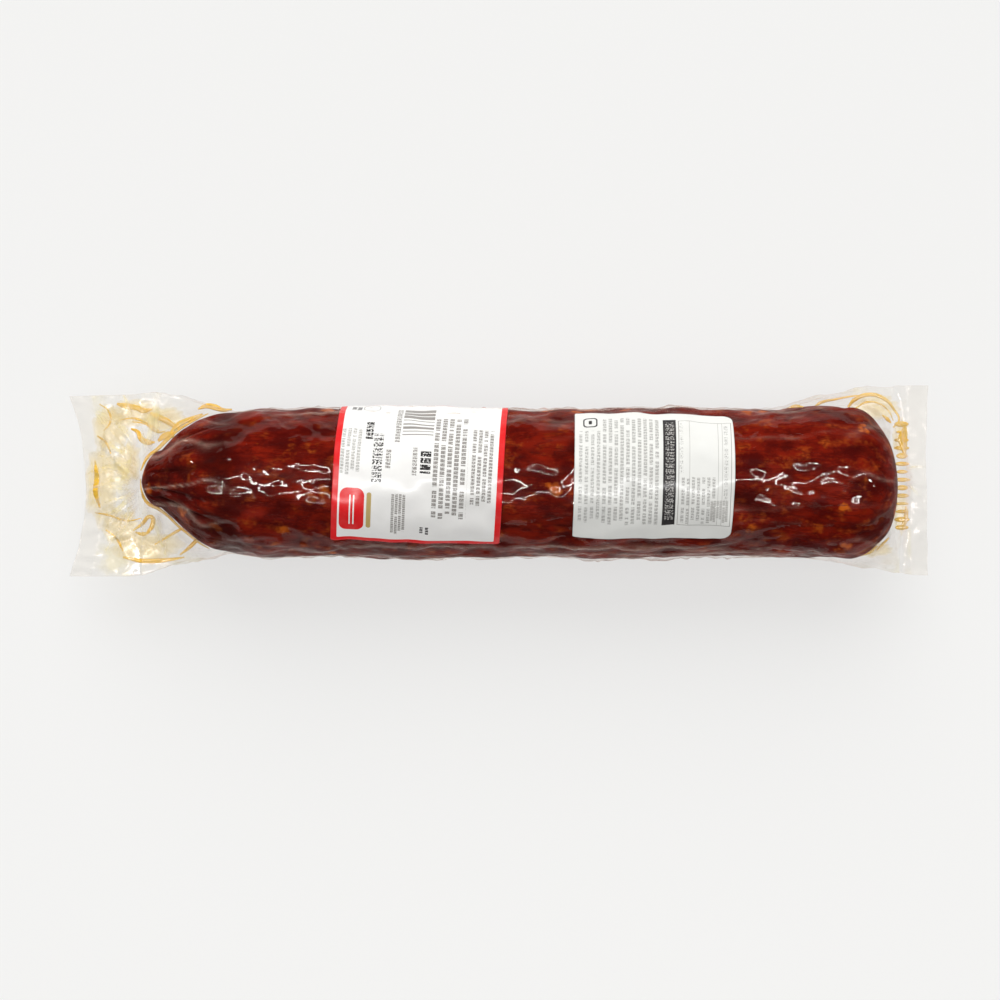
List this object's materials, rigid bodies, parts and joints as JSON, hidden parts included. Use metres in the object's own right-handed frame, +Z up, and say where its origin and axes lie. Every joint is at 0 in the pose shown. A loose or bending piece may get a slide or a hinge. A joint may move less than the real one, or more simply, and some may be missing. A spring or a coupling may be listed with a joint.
{
  "type": "vacuum-packed cured sausage",
  "caption": "Large dry-cured sausage with a tapered nose and a blunt heel, in a clear vacuum pouch with flat welded ends and paper labels.",
  "frame": {"origin": "centre of the pouch's box in plan, on the surface that it lies on", "axes": "+X along the sausage from its tapered nose to its blunt heel, +Y across it, +Z up with the labels on top"},
  "size_m": [0.3806, 0.0844, 0.0666],
  "materials": {
    "cured_meat": "satin",
    "clear_film": "gloss",
    "trapped_oil": "gloss",
    "framed_label": "satin",
    "plain_label": "satin",
    "label_red": "satin",
    "label_ink": "satin"
  },
  "bodies": {
    "root": {"sausage": "cured_meat", "vacuum_pouch": "clear_film", "product_label": "framed_label", "details_label": "plain_label"}
  },
  "joints": []
}
